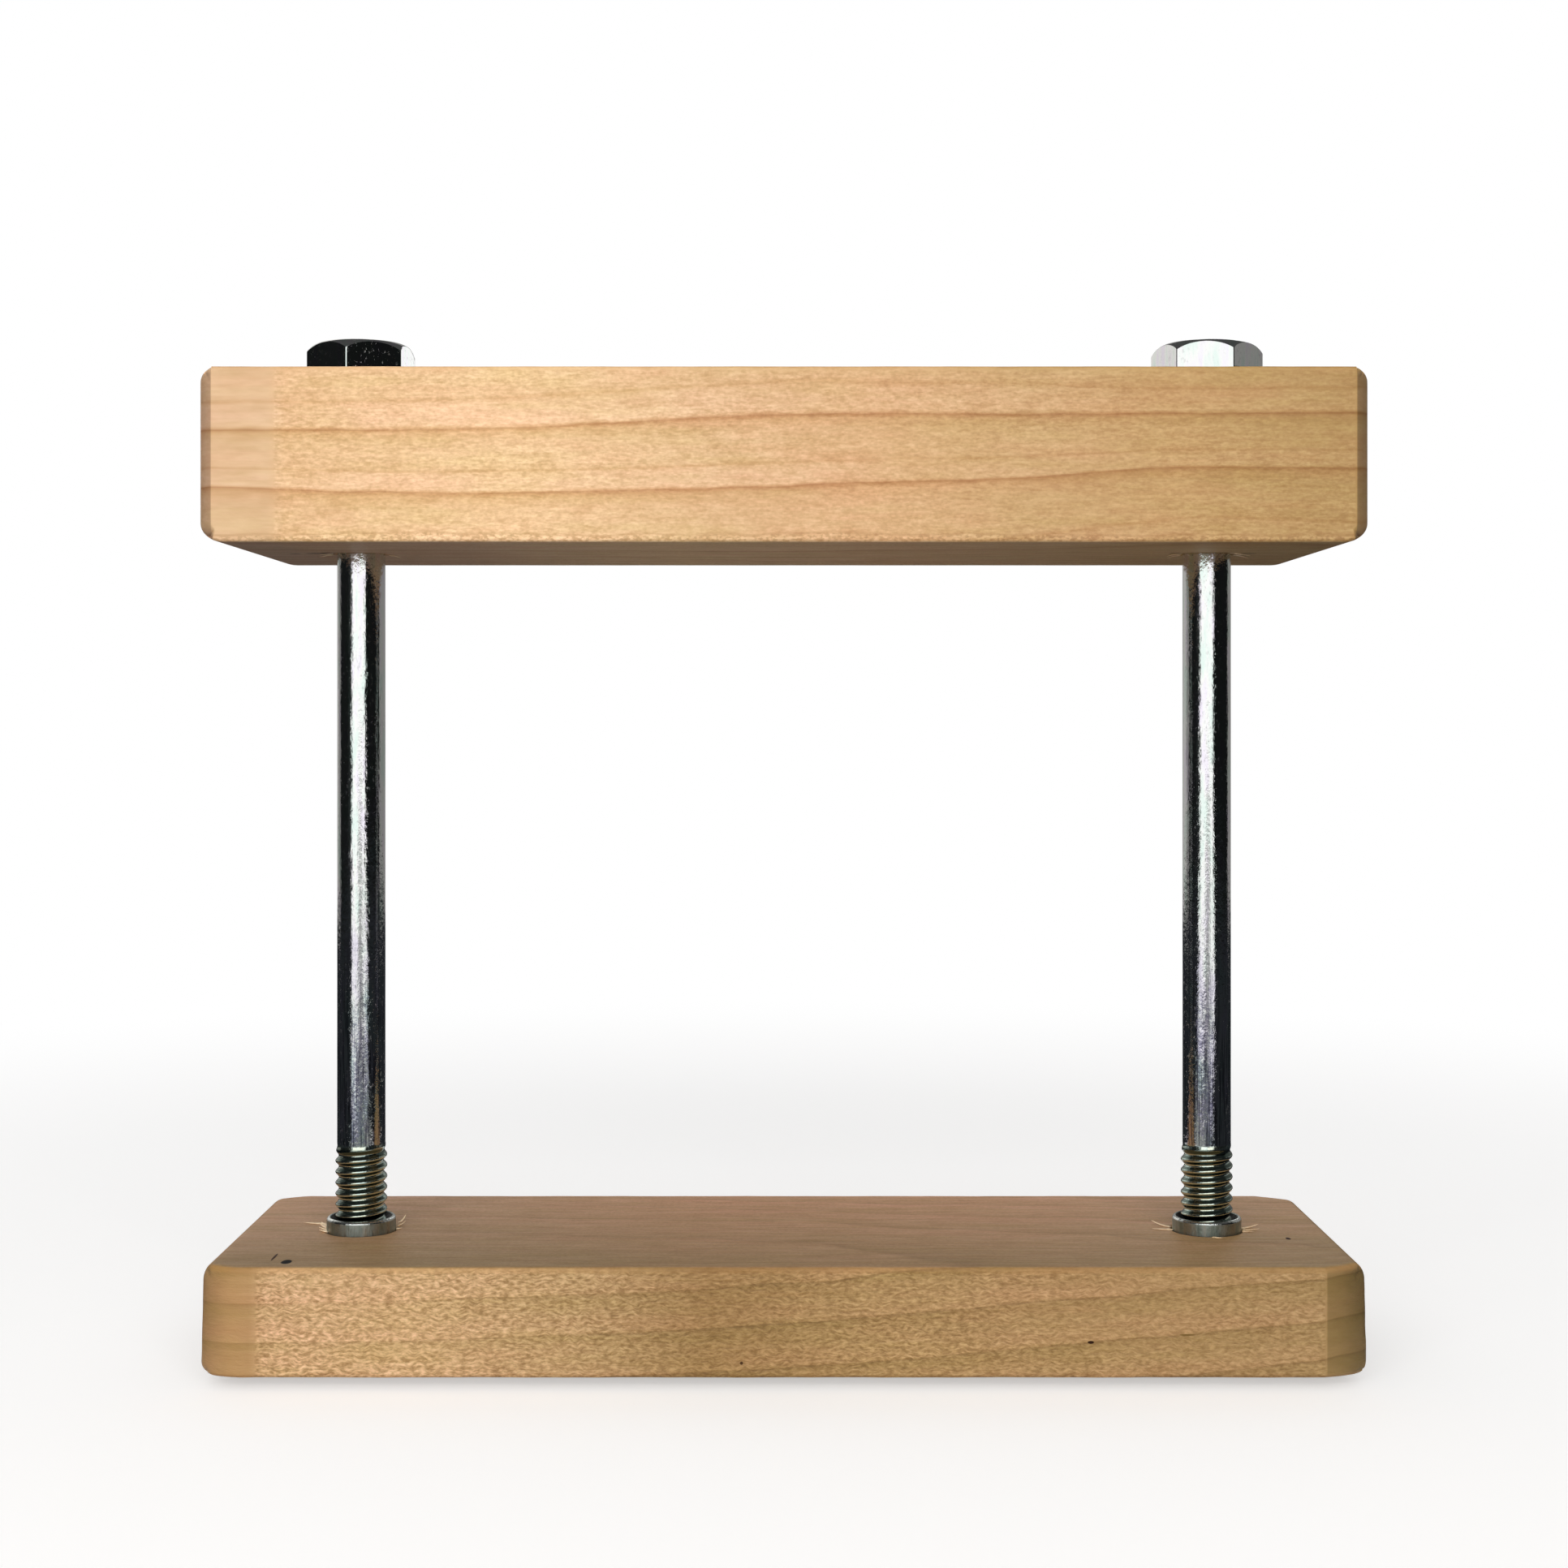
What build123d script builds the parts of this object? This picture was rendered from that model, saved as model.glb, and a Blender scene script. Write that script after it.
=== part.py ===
from build123d import *

import math
import os

# Square clamp: two hardwood jaws, one above the other, drawn together by two hex bolts
# that screw into tee nuts in the lower jaw. Millimetres, +Z up. The origin is at the middle
# of the foot, level with the flanges of the tee nuts, on which the clamp stands. X runs along
# the jaws and Y across them.

# Jaws: one board length and depth, two thicknesses
jaw_length = 127.0
jaw_depth = 38.1
upper_thickness = 19.05
lower_thickness = 12.0
jaw_gap = 78.5
bolt_spacing = 98.4

# Eased edges of the jaws: corners seen from above, end edges, and the long edges
upper_corner_radius = 1.5
upper_end_top_radius = 1.6
upper_end_bottom_radius = 2.2
lower_corner_radius = 4.2
lower_end_top_radius = 0.9
lower_end_bottom_radius = 1.2
long_edge_chamfer = 0.35
bolt_hole_chamfer = 0.3

# Bolts: hex cap screws with an undersized body and a short rolled thread
bolt_length = 107.95
shank_diameter = 5.54
thread_diameter = 6.2
thread_length = 19.05
thread_runout = 0.6
point_chamfer = 0.8
head_across_flats = 11.11
head_height = 3.97
crown_diameter = 10.5
crown_angle = 30
bearing_face_diameter = 10.5
bearing_face_height = 0.3
underhead_flare = 0.3
left_head_turn = 24.5
right_head_turn = -12.0

# Flat washers under the heads
washer_diameter = 15.9
washer_bore = 7.1
washer_thickness = 1.3
washer_edge_chamfer = 0.25

# Tee nuts: a flange with four prongs bent up from it, and a threaded barrel
barrel_diameter = 7.94
barrel_length = 14.29
rim_chamfer = 0.2
mouth_diameter = 7.2
mouth_depth = 0.55
flange_diameter = 19.05
flange_thickness = 1.3
flange_edge_chamfer = 0.2
funnel_radius = 0.9
neck_flare = 0.5
prong_count = 4
prong_first_angle = 45
prong_radius = 7.2
prong_width = 3.4
prong_tip_width = 0.7
prong_shoulder = 2.2
prong_reach = 6.4
prong_bend_radius = 0.9
notch_width = 4.4

# Clearances
hole_clearance = 0.075
thread_clearance = 0.05
driven_clearance = 0.03
neck_clearance = 0.1
washer_play = 0.05

# Two sizes closer than this are the same size, where edges are picked out
same_size = 0.001

# Levels, from the bench up
lower_bottom = flange_thickness
lower_top = lower_bottom + lower_thickness
upper_bottom = lower_top + jaw_gap
upper_top = upper_bottom + upper_thickness
washer_seat = upper_top + washer_play
head_seat = washer_seat + washer_thickness
head_top = head_seat + head_height
bolt_end = head_seat - bolt_length
thread_top = bolt_end + thread_length
rim_level = lower_bottom + barrel_length
prong_tip = flange_thickness + prong_reach

# Places of the bolts along the jaws, with each head's turn from two flats facing front and back
bolts = [
    ("left", -bolt_spacing / 2, left_head_turn),
    ("right", bolt_spacing / 2, right_head_turn),
]
prong_angles = [prong_first_angle + index * 360 / prong_count for index in range(prong_count)]

# Radii that follow from the sizes above
shank_radius = shank_diameter / 2
thread_radius = thread_diameter / 2
bolt_hole_radius = thread_radius + hole_clearance
nut_bore_radius = thread_radius + thread_clearance
head_corner_radius = head_across_flats / 2 / math.cos(math.radians(30))
crown_level = head_top - (head_corner_radius - crown_diameter / 2) * math.tan(math.radians(crown_angle))
barrel_radius = barrel_diameter / 2
flange_radius = flange_diameter / 2
barrel_hole_radius = barrel_radius + driven_clearance
neck_seat_depth = neck_flare + neck_clearance
prong_inner_face = prong_radius - flange_thickness / 2
prong_outer_face = prong_radius + flange_thickness / 2


def level_plane(x, height):
    """Level plane at a height, its origin on a bolt's axis."""
    return Plane(origin=(x, 0, height))


def profile_plane(x):
    """Upright plane through a bolt's axis, its own X along the jaws and its own Y up."""
    return Plane(origin=(x, 0, 0), x_dir=(1, 0, 0), z_dir=(0, -1, 0))


def radial_plane(x, angle, radius):
    """Upright plane at a radius from a bolt's axis, facing outwards, its own Y up."""
    outwards = Vector(1, 0, 0).rotate(Axis.Z, angle)
    along = Vector(0, 1, 0).rotate(Axis.Z, angle)
    return Plane(origin=Vector(x, 0, 0) + outwards * radius, x_dir=along, z_dir=outwards)


def front_view(bottom, top, top_radius, bottom_radius):
    """Outline of a jaw seen from the front, with its end edges rounded."""
    with BuildSketch(Plane.XZ) as view:
        with Locations((0, (bottom + top) / 2)):
            Rectangle(jaw_length, top - bottom)
        fillet(view.vertices().group_by(Axis.Y)[-1], top_radius)
        fillet(view.vertices().group_by(Axis.Y)[0], bottom_radius)
    return view.sketch


def top_view(bottom, corner_radius):
    """Outline of a jaw seen from above, with rounded corners."""
    with BuildSketch(Plane.XY.offset(bottom)) as view:
        RectangleRounded(jaw_length, jaw_depth, corner_radius)
    return view.sketch


def end_view(bottom, top):
    """Outline of a jaw seen from its end, with the long edges broken."""
    with BuildSketch(Plane.YZ) as view:
        with Locations((0, (bottom + top) / 2)):
            Rectangle(jaw_depth, top - bottom)
        chamfer(view.vertices(), long_edge_chamfer)
    return view.sketch


def prong_outline(x, angle, radius, spare):
    """Prong seen from outside: straight shoulders, then a taper to a blunt tip."""
    base = prong_width / 2 + spare
    tip = prong_tip_width / 2 + spare
    shoulder = flange_thickness + prong_shoulder
    top = prong_tip + spare
    with BuildSketch(radial_plane(x, angle, radius)) as outline:
        with BuildLine():
            Polyline((0, 0), (base, 0), (base, shoulder), (tip, top), (0, top), close=True)
        make_face()
        mirror(about=Plane.YZ)
    return outline.sketch


def is_hole_rim(edge):
    """True for the circles where a bolt hole meets the faces of the upper jaw."""
    return edge.geom_type == GeomType.CIRCLE and abs(edge.radius - bolt_hole_radius) < same_size


def is_prong_bend(edge, x):
    """True for the straight outer edge at the foot of a prong, where the sheet was bent."""
    middle = edge.center()
    on_bench = abs(middle.Z) < same_size
    on_outer_face = abs(math.hypot(middle.X - x, middle.Y) - prong_outer_face) < same_size
    return on_bench and on_outer_face and abs(edge.length - prong_width) < same_size


os.makedirs("parts", exist_ok=True)

# Upper jaw: a plain board that the bolts pass through with a little play
with BuildPart() as upper_block:
    extrude(
        front_view(upper_bottom, upper_top, upper_end_top_radius, upper_end_bottom_radius),
        amount=jaw_depth / 2,
        both=True,
    )
    extrude(top_view(upper_bottom, upper_corner_radius), amount=upper_thickness, mode=Mode.INTERSECT)
    extrude(end_view(upper_bottom, upper_top), amount=jaw_length / 2, both=True, mode=Mode.INTERSECT)
    for side, x, turn in bolts:
        with BuildSketch(level_plane(x, upper_bottom)):
            Circle(bolt_hole_radius)
        extrude(amount=upper_thickness, mode=Mode.SUBTRACT)
    chamfer(upper_block.edges().filter_by(is_hole_rim), bolt_hole_chamfer)
upper_block.part.label = "upper_block"
export_step(upper_block.part, "parts/upper_block.step")

# Lower jaw: a thinner board with a hole for each barrel, opened out under the barrel's neck,
# and the slits that the prongs fill
with BuildPart() as lower_block:
    extrude(
        front_view(lower_bottom, lower_top, lower_end_top_radius, lower_end_bottom_radius),
        amount=jaw_depth / 2,
        both=True,
    )
    extrude(top_view(lower_bottom, lower_corner_radius), amount=lower_thickness, mode=Mode.INTERSECT)
    extrude(end_view(lower_bottom, lower_top), amount=jaw_length / 2, both=True, mode=Mode.INTERSECT)
    for side, x, turn in bolts:
        with BuildSketch(level_plane(x, lower_bottom)):
            Circle(barrel_hole_radius)
        extrude(amount=lower_thickness, mode=Mode.SUBTRACT)
        with BuildSketch(level_plane(x, lower_bottom)):
            Circle(barrel_hole_radius + neck_seat_depth)
        extrude(amount=neck_seat_depth, taper=45, mode=Mode.SUBTRACT)
        for angle in prong_angles:
            slit = prong_outline(x, angle, prong_inner_face - driven_clearance, driven_clearance)
            extrude(slit, amount=flange_thickness + 2 * driven_clearance, mode=Mode.SUBTRACT)
lower_block.part.label = "lower_block"
export_step(lower_block.part, "parts/lower_block.step")

# Bolts: a hex head with a crowned top, on a body that runs out into the rolled thread
for side, x, turn in bolts:
    bolt_axis = Axis((x, 0, 0), (0, 0, 1))
    with BuildPart() as bolt:
        with BuildSketch(level_plane(x, head_seat + bearing_face_height)):
            RegularPolygon(head_across_flats / 2, 6, major_radius=False, rotation=turn)
        extrude(amount=head_height - bearing_face_height)
        with BuildSketch(profile_plane(x)):
            with BuildLine():
                Polyline(
                    (0, head_seat),
                    (head_corner_radius, head_seat),
                    (head_corner_radius, crown_level),
                    (crown_diameter / 2, head_top),
                    (0, head_top),
                    close=True,
                )
            make_face()
        revolve(axis=bolt_axis, mode=Mode.INTERSECT)
        with BuildSketch(profile_plane(x)):
            with BuildLine():
                Polyline(
                    (0, bolt_end),
                    (thread_radius - point_chamfer, bolt_end),
                    (thread_radius, bolt_end + point_chamfer),
                    (thread_radius, thread_top - thread_runout),
                    (shank_radius, thread_top),
                    (shank_radius, head_seat - underhead_flare),
                    (shank_radius + underhead_flare, head_seat),
                    (bearing_face_diameter / 2, head_seat),
                    (bearing_face_diameter / 2, head_seat + bearing_face_height),
                    (0, head_seat + bearing_face_height),
                    close=True,
                )
            make_face()
        revolve(axis=bolt_axis)
    bolt.part.label = f"bolt_{side}"
    export_step(bolt.part, f"parts/bolt_{side}.step")

# Washers: punched discs, their outer edge eased on top
for side, x, turn in bolts:
    with BuildPart() as washer:
        with BuildSketch(level_plane(x, washer_seat)):
            Circle(washer_diameter / 2)
            Circle(washer_bore / 2, mode=Mode.SUBTRACT)
        extrude(amount=washer_thickness)
        chamfer(washer.edges().group_by(Axis.Z)[-1].sort_by(SortBy.RADIUS)[-1], washer_edge_chamfer)
    washer.part.label = f"washer_{side}"
    export_step(washer.part, f"parts/washer_{side}.step")

# Tee nuts: flange and barrel are turned in one profile, from the funnel underneath to the
# countersunk mouth at the rim, and the prongs stand in the notches that they were bent out of
for side, x, turn in bolts:
    with BuildPart() as tee_nut:
        with BuildSketch(profile_plane(x)):
            with BuildLine():
                RadiusArc(
                    (nut_bore_radius + funnel_radius, 0),
                    (nut_bore_radius, funnel_radius),
                    funnel_radius,
                )
                Polyline(
                    (nut_bore_radius, funnel_radius),
                    (nut_bore_radius, rim_level - mouth_depth),
                    (mouth_diameter / 2, rim_level),
                    (barrel_radius - rim_chamfer, rim_level),
                    (barrel_radius, rim_level - rim_chamfer),
                    (barrel_radius, flange_thickness + neck_flare),
                    (barrel_radius + neck_flare, flange_thickness),
                    (flange_radius - flange_edge_chamfer, flange_thickness),
                    (flange_radius, flange_thickness - flange_edge_chamfer),
                    (flange_radius, flange_edge_chamfer),
                    (flange_radius - flange_edge_chamfer, 0),
                    (nut_bore_radius + funnel_radius, 0),
                )
            make_face()
        revolve(axis=Axis((x, 0, 0), (0, 0, 1)))
        for angle in prong_angles:
            with BuildSketch(radial_plane(x, angle, prong_inner_face)):
                with Locations((0, flange_thickness / 2)):
                    Rectangle(notch_width, flange_thickness)
            extrude(amount=flange_radius, mode=Mode.SUBTRACT)
            extrude(prong_outline(x, angle, prong_inner_face, 0), amount=flange_thickness)
        fillet([edge for edge in tee_nut.edges() if is_prong_bend(edge, x)], prong_bend_radius)
    tee_nut.part.label = f"tee_nut_{side}"
    export_step(tee_nut.part, f"parts/tee_nut_{side}.step")
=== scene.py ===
import math

import bmesh
import bpy
import numpy as np
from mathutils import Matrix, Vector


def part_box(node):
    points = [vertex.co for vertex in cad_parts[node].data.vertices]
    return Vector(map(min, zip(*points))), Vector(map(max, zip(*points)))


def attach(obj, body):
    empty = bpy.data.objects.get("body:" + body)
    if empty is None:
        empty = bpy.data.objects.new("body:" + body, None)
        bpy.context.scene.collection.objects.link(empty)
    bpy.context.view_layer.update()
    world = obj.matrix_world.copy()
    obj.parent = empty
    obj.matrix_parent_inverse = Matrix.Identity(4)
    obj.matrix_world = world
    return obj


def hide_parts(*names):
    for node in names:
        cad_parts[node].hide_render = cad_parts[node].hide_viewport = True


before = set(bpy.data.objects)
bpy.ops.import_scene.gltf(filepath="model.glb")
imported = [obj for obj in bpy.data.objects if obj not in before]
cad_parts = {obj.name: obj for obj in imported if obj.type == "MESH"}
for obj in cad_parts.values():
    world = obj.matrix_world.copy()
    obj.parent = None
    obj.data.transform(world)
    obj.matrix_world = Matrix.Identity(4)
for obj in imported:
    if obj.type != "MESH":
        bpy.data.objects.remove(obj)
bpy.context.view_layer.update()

# Square clamp. The shapes are worked out in millimetres: X along the jaws, Y across them away
# from the camera, Z up the bolts. They are written in metres when they become meshes.
METRE = 1000.0
FULL_TURN = 2 * math.pi


def corners_of(node):
    """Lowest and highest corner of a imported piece, in millimetres."""
    return [np.array(corner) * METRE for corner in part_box(node)]


UPPER_LOW, UPPER_HIGH = corners_of("upper_block")
LOWER_LOW, LOWER_HIGH = corners_of("lower_block")
LEFT_NUT_LOW, LEFT_NUT_HIGH = corners_of("tee_nut_left")
LEFT_BOLT_LOW, LEFT_BOLT_HIGH = corners_of("bolt_left")
WASHER_LOW, WASHER_HIGH = corners_of("washer_left")
BOLT_X = -(LEFT_NUT_LOW[0] + LEFT_NUT_HIGH[0]) / 2
BOLT_PLACES = {"left": -BOLT_X, "right": BOLT_X}
HEAD_TOP = LEFT_BOLT_HIGH[2]
BOLT_END = LEFT_BOLT_LOW[2]
HEAD_SEAT = WASHER_HIGH[2]

# Bolt: 1.27 mm pitch, right-handed
PITCH = 1.27
SHANK_RADIUS = 2.77
CREST_RADIUS = 2.98
ROOT_RADIUS = 2.58
THREAD_TOP = BOLT_END + 19.05
BODY_END = THREAD_TOP + 0.3
ROWS_PER_TURN = 16
ACROSS_FLATS = 11.11
HEX_POWER = 160
CROWN_RADIUS = 4.6
CROWN_EDGE = 5.37
CROWN_DROP = .36
BEARING_RADIUS = 5.25
BEARING_HEIGHT = 0.3
CREST_PHASE = 0.30
HEAD_TURNS = {"left": 24.5, "right": -12.0}

# Washer
WASHER_BORE = 3.55
WASHER_RADIUS = 7.95

# Tee nut: the rim stands lower than the solid's, as in the photograph
RIM_LEVEL = LEFT_NUT_HIGH[2] - 0.7
BARREL_RADIUS = 3.97
RIM_ROUND = 0.36
MOUTH_RADIUS = 3.6
NUT_ROOT_RADIUS = 3.2
NUT_THREAD_DEPTH = .5
UNDER_RADIUS = 4.05
FLANGE_RADIUS = 9.525
FLANGE_THICKNESS = 1.3
PRONG_INNER = 6.55
PRONG_WIDTH = 3.4
PRONG_TIP_WIDTH = 0.7
PRONG_TIP = 7.7
NOTCH_HALF = 2.2
NOTCH_CORNER = math.hypot(PRONG_INNER, NOTCH_HALF)
PRONG_ANGLES = (45, 135, 225, 315)


# Surfaces

# Corners in the same step of 1/5000 mm become one. The offset keeps round numbers inside a step.
WELD = 5000
WELD_OFFSET = 0.317
CREASE = math.radians(38)


def flat_grid(xs, ys, zs):
    """The points of a grid whose third direction has a single value, rows by columns."""
    return np.stack(np.meshgrid(xs, ys, zs, indexing="ij"), axis=-1).squeeze()


def cells(points):
    """The four corners of every cell of a grid of points, rows by columns."""
    square = [points[:-1, :-1], points[1:, :-1], points[1:, 1:], points[:-1, 1:]]
    return np.stack(square, axis=2).reshape(-1, 4, 3)


def make_piece(name, patches, body, material, stands_for=()):
    """One closed mesh from patches of cells. Corners at the same place become one vertex, a cell
    with two equal corners becomes a triangle, and one that has closed to a line is left out."""
    corners = np.concatenate(patches).reshape(-1, 3)
    keys = np.round(corners * WELD + WELD_OFFSET).astype(np.int64)
    first, index = np.unique(keys, axis=0, return_index=True, return_inverse=True)[1:]
    faces = index.reshape(-1, 4)
    repeats = faces == np.roll(faces, -1, axis=1)
    closed = repeats.sum(axis=1)
    squares = faces[closed == 0]
    order = np.argsort(repeats[closed == 1], axis=1, kind="stable")[:, :3]
    triangles = np.take_along_axis(faces[closed == 1], np.sort(order, axis=1), axis=1)
    mesh = bpy.data.meshes.new(name)
    mesh.from_pydata(corners[first] / METRE, [], squares.tolist() + triangles.tolist())
    shell = bmesh.new()
    shell.from_mesh(mesh)
    bmesh.ops.recalc_face_normals(shell, faces=shell.faces)
    shell.to_mesh(mesh)
    shell.free()
    mesh.shade_smooth()
    mesh.set_sharp_from_angle(angle=CREASE)
    mesh.materials.append(material)
    piece = bpy.data.objects.new(name, mesh)
    bpy.context.scene.collection.objects.link(piece)
    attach(piece, body)
    if stands_for:
        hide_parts(*stands_for)


def smooth_step(value):
    """0 below 0, 1 above 1, and 3v^2 - 2v^3 between."""
    value = np.clip(value, 0, 1)
    return value * value * (3 - 2 * value)


def turned(x, angles, radii, heights):
    """Points at a radius and a height round a bolt's axis, one column for each angle."""
    radii, heights, angles = np.broadcast_arrays(radii, heights, angles)
    return np.stack([x + radii * np.cos(angles), radii * np.sin(angles), heights], axis=-1)


def turned_rows(x, angles, rows):
    """The same for a list of rows, each a radius and a height."""
    return np.stack([turned(x, angles, radius, height) for radius, height in rows])


# Jaws

EDGE_STEPS = np.array([0, .05, .1, .16, .22, .28, .34, .41, .5, .65, .85, 1.1, 1.4, 1.75, 2.1, 2.5,
                       3, 3.6, 4.2])
CORNER_STEPS = np.array([0, .03, .08, .16, .3, .5])
HOLE_SQUARE = 8.0
TO_SQUARE = np.array([0, .04, .09, .16, .26, .4, .6, .8, 1])[:, None, None]
CELL_ALONG = 0.6
CELL_ACROSS = 1.0

# Each jaw's corners: their legs along it, and across it at the top and at the bottom, with the
# powers of the left and right ends, then the front view's legs along and up, and the edges' radii
UPPER_EASING = {"corner": (1.5, 1.5, 1.5), "powers": (1.2, 1.25), "top_legs": (1.5, 1.6),
                "bottom_legs": (3.0, 2.1), "long_radius": .4, "corner_radius": .7}
LOWER_EASING = {"corner": (4.9, 3.0, 1.75), "powers": (1.75, 1.3), "top_legs": (1.5, 1.9),
                "bottom_legs": (1.6, 1.4), "long_radius": .4, "corner_radius": .6}

# Radius and height down a bolt's hole in the upper jaw, its edges broken by drilling
BROKEN_EDGE = [(3.52, 0), (3.36, .06), (3.22, .22)]
BOLT_HOLE = [(radius, UPPER_HIGH[2] - depth) for radius, depth in BROKEN_EDGE]
BOLT_HOLE += [(3.175, height) for height in np.linspace(UPPER_HIGH[2] - .45, UPPER_LOW[2] + .45, 12)]
BOLT_HOLE += [(radius, UPPER_LOW[2] + depth) for radius, depth in BROKEN_EDGE[::-1]]

# The same for a barrel in the lower jaw, pressed round at the top and opened out for its neck
BARREL_HOLE = [(radius, LOWER_HIGH[2] - depth) for radius, depth in ((4.38, 0), (4.2, .05), (4.06, .2))]
BARREL_HOLE += [(4.0, height) for height in np.linspace(LOWER_HIGH[2] - .4, LOWER_LOW[2] + .6, 8)]
BARREL_HOLE += [(4.6, LOWER_LOW[2])]


def stations(low, high, step, corner, stops=()):
    """Positions from low to high: close together near both ends, where the edges are eased and
    the corners begin, and about a step apart between, with a station at each stop."""
    near = np.concatenate([EDGE_STEPS, corner - CORNER_STEPS])
    near = near[near >= 0]
    marks = [low + EDGE_STEPS[-1], *stops, high - EDGE_STEPS[-1]]
    spans = [np.linspace(a, b, max(2, round((b - a) / step) + 1)) for a, b in zip(marks, marks[1:])]
    return np.unique(np.round(np.concatenate([low + near, *spans, high - near]), 6))


def eased(points, low, high, corner, powers, top_legs, bottom_legs, long_radius, corner_radius):
    """The box from low to high, eased. A corner seen from above, with a leg along the board and
    one across it that changes evenly from the top to the bottom, is drawn in to a curve: at a
    share m = max(a, b) of the legs, (a, b) moves to m (a, b) / (a^p + b^p)^(1/p). The power p is
    given for the left and right ends: 2 rounds a corner, and nearer 1 cuts it flat with its
    arrises just broken. An edge of radius r takes in the surface within r of it: s along the
    surface from the edge becomes the angle 45 (1 - s/r) degrees of a quarter circle. The radius
    wanders along the board, is next to nothing across its ends and has its own size at the
    corners. At last the corners seen from the front are drawn in the same way as those seen from
    above, with the power 2."""
    half = high[:2]
    across_leg = np.interp(points[..., 2], [low[2], high[2]], [corner[2], corner[1]])
    legs = np.stack([np.full_like(across_leg, corner[0]), across_leg], axis=-1)
    side = np.where(points[..., :2] < 0, -1.0, 1.0)
    inside = half - np.abs(points[..., :2])
    into = (legs - inside) / legs
    turning = (into > 0).all(axis=-1)
    reach = into.max(axis=-1)
    power = np.where(points[..., :1] < 0, *powers)
    safe = np.where(turning[..., None], np.maximum(into, 0), 1.0)
    furthest = safe.max(axis=-1, keepdims=True)
    length = ((safe / furthest) ** power).sum(axis=-1, keepdims=True) ** (1 / power)
    drawn = safe / length * legs
    direction = safe ** power / np.maximum(safe, 1e-9) / legs
    direction = direction / np.linalg.norm(direction, axis=-1, keepdims=True)
    support = (direction * drawn).sum(axis=-1) / furthest[..., 0]
    nearer_end = inside[..., 0] < inside[..., 1]
    straight = np.stack([nearer_end, ~nearer_end], axis=-1).astype(float)
    outward = np.where(turning[..., None], direction, straight) * side
    inset = np.where(turning, (1 - reach) * support, inside.min(axis=-1))
    plan = np.where(turning[..., None], (half - legs + drawn) * side, points[..., :2])
    height = points[..., 2].copy()
    along = plan[..., 0]
    wander = 1 + .10 * np.sin(along / 3.1) + .07 * np.sin(along / 1.27 + 2) + .05 * np.sin(along / .61)
    for level, sign in ((high[2], 1), (low[2], -1)):
        across = outward[..., 0] ** 2
        radius = (long_radius * wander * (1 - smooth_step(across * 1.3))
                  + corner_radius * 4 * across * (1 - across) + .03)
        drop = np.abs(level - points[..., 2])
        position = inset - drop
        on_edge = (np.minimum(inset, drop) < 1e-6) & (np.abs(position) < radius)
        angle = np.radians(45) * (1 - position / radius)
        new_inset = np.where(on_edge, radius * (1 - np.sin(angle)), inset)
        plan = plan - outward * (new_inset - inset)[..., None]
        height = np.where(on_edge, level - sign * radius * (1 - np.cos(angle)), height)
        inset = new_inset
    along = plan[..., 0]
    for level, sign, (leg_along, leg_up) in ((high[2], 1, top_legs), (low[2], -1, bottom_legs)):
        a = np.maximum(1 - (half[0] - np.abs(along)) / leg_along, 0)
        b = np.maximum(1 - sign * (level - height) / leg_up, 0)
        both = (a > 0) & (b > 0)
        keep = np.where(both, np.maximum(a, b) / np.maximum(np.hypot(a, b), 1e-9), 1.0)
        along = np.where(both, np.sign(along) * (half[0] - leg_along * (1 - a * keep)), along)
        height = np.where(both, level - sign * leg_up * (1 - b * keep), height)
    return np.stack([along, plan[..., 1], height], axis=-1)


def hole_square(x, level, xs, ys):
    """The square of a face's grid round a bolt's axis, as one closed line of points."""
    xs = xs[np.abs(xs - x) < HOLE_SQUARE + 1e-3]
    ys = ys[np.abs(ys) < HOLE_SQUARE + 1e-3]
    line = np.concatenate([
        np.stack([xs, np.full_like(xs, ys[0])], axis=-1),
        np.stack([np.full_like(ys, xs[-1]), ys], axis=-1)[1:],
        np.stack([xs, np.full_like(xs, ys[-1])], axis=-1)[::-1][1:],
        np.stack([np.full_like(ys, xs[0]), ys], axis=-1)[::-1][1:],
    ])
    return np.concatenate([line, np.full((len(line), 1), level)], axis=-1)


def board(low, high, easing, hole):
    """Patches of a jaw: six gridded faces, eased, with two holes. Between a hole and its square
    the grid runs in straight lines, each at one angle about the bolt's axis. The hole is given as
    its radius at each height, from the upper face to the lower."""
    corner = easing["corner"]
    sides = [x + reach for x in BOLT_PLACES.values() for reach in (-HOLE_SQUARE, HOLE_SQUARE)]
    xs = stations(low[0], high[0], CELL_ALONG, corner[0], sides)
    ys = stations(low[1], high[1], CELL_ACROSS, corner[1], (-HOLE_SQUARE, HOLE_SQUARE))
    zs = stations(low[2], high[2], CELL_ACROSS, 0)
    patches = []
    for level in (low[2], high[2]):
        face = cells(flat_grid(xs, ys, [level]))
        from_axis = np.abs(np.abs(face.mean(axis=1)[:, :2]) - (BOLT_X, 0))
        patches.append(face[(from_axis >= HOLE_SQUARE).any(axis=1)])
    patches += [cells(flat_grid(xs, [level], zs)) for level in (low[1], high[1])]
    patches += [cells(flat_grid([level], ys, zs)) for level in (low[0], high[0])]
    patches = [eased(patch, low, high, **easing) for patch in patches]
    radii, heights = np.array(hole).T[:, :, None]
    for x in BOLT_PLACES.values():
        square = hole_square(x, 0, xs, ys)
        bore = turned(x, np.arctan2(square[:, 1], square[:, 0] - x), radii, heights)
        patches.append(cells(bore))
        for rim, level in ((bore[0], high[2]), (bore[-1], low[2])):
            edge = hole_square(x, level, xs, ys)
            patches.append(cells(rim + (edge - rim) * TO_SQUARE))
    return patches


# Bolts

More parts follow.
